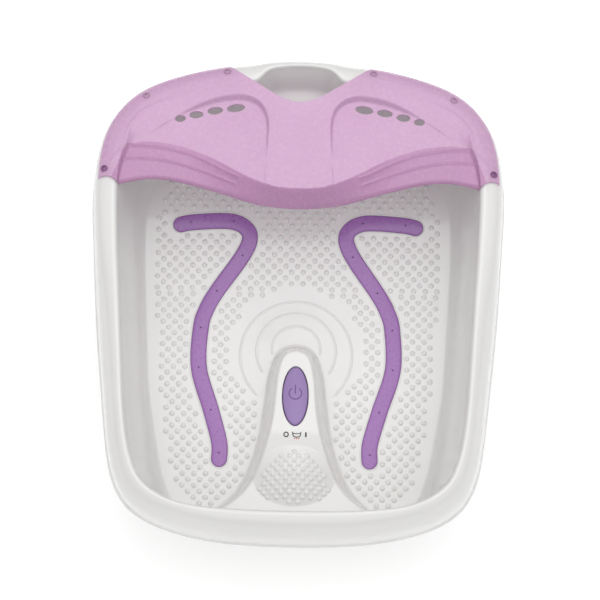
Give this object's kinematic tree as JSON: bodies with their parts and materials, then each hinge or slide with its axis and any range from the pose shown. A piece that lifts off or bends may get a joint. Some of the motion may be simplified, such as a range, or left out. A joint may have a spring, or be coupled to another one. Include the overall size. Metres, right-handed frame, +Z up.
{
  "type": "foot spa basin",
  "caption": "Foot spa basin with a sloped massage footbed, curved air strips, a toe-pressed power button and a screwed-on splash guard over a pouring spout.",
  "frame": {"origin": "on the ground, under the middle of the object's box", "axes": "+Y towards the pouring spout and splash guard, at the toes; +X to the right of someone who faces the spout; +Z up"},
  "size_m": [0.359, 0.43, 0.18],
  "materials": {
    "shell": "glossy white moulding",
    "guard": "glossy translucent lilac",
    "strip": "glossy translucent violet",
    "button": "satin violet",
    "rubber": "matt",
    "steel": "zinc plated",
    "pin": "satin violet",
    "nylon": "natural moulding",
    "black": "satin",
    "aluminium": "rolled sheet",
    "copper": "enamelled winding",
    "bronze": "sintered",
    "hose": "clear soft tube",
    "board": "solder mask",
    "red_lead": "sheathed lead",
    "silicone": "silicone sheath"
  },
  "bodies": {
    "base": {"tub": "shell", "lower_housing": "shell", "cord_gland": "rubber", "splash_guard": "guard", "button_frame": "nylon", "stem_seal": "rubber", "button_spring": "steel", "switch_body": "black", "blower_volute": "nylon", "blower_cover": "nylon", "motor_can": "steel", "motor_end_bell": "black", "motor_bush_lower": "bronze", "motor_bush_upper": "bronze", "heater_lead": "silicone", "heater_plate": "aluminium", "thermal_cutout": "steel", "rectifier_board": "board", "lead_gland_to_switch": "black", "lead_switch_to_board": "black", "lead_board_to_motor": "red_lead", "lead_switch_to_heater": "red_lead", "bubble_strip_left": "strip", "air_channel_left": "nylon", "air_hose_left": "hose", "foot_front_left": "rubber", "foot_rear_left": "rubber", "base_screw_front_left": "steel", "base_screw_middle_left": "steel", "base_screw_rear_left": "steel", "guard_screw_side_left": "pin", "guard_screw_corner_left": "pin", "guard_screw_back_left": "pin", "bubble_strip_right": "strip", "air_channel_right": "nylon", "air_hose_right": "hose", "foot_front_right": "rubber", "foot_rear_right": "rubber", "base_screw_front_right": "steel", "base_screw_middle_right": "steel", "base_screw_rear_right": "steel", "guard_screw_side_right": "pin", "guard_screw_corner_right": "pin", "guard_screw_back_right": "pin"},
    "button": {"power_button": "button", "switch_plunger": "black"},
    "rotor": {"motor_shaft": "steel", "impeller": "black", "motor_armature": "copper"}
  },
  "joints": [
    {"name": "button_press", "type": "slide", "parent": "base", "child": "button", "axis": [0, 0, -1], "range_m": [0, 0.003], "stiffness_N_per_m": 400, "springref_m": -0.004, "deforming": ["button_spring"]},
    {"name": "blower_spin", "type": "hinge", "parent": "base", "child": "rotor", "pos_m": [0, 0.1, 0.035], "axis": [0, 0, 1], "continuous": true}
  ]
}
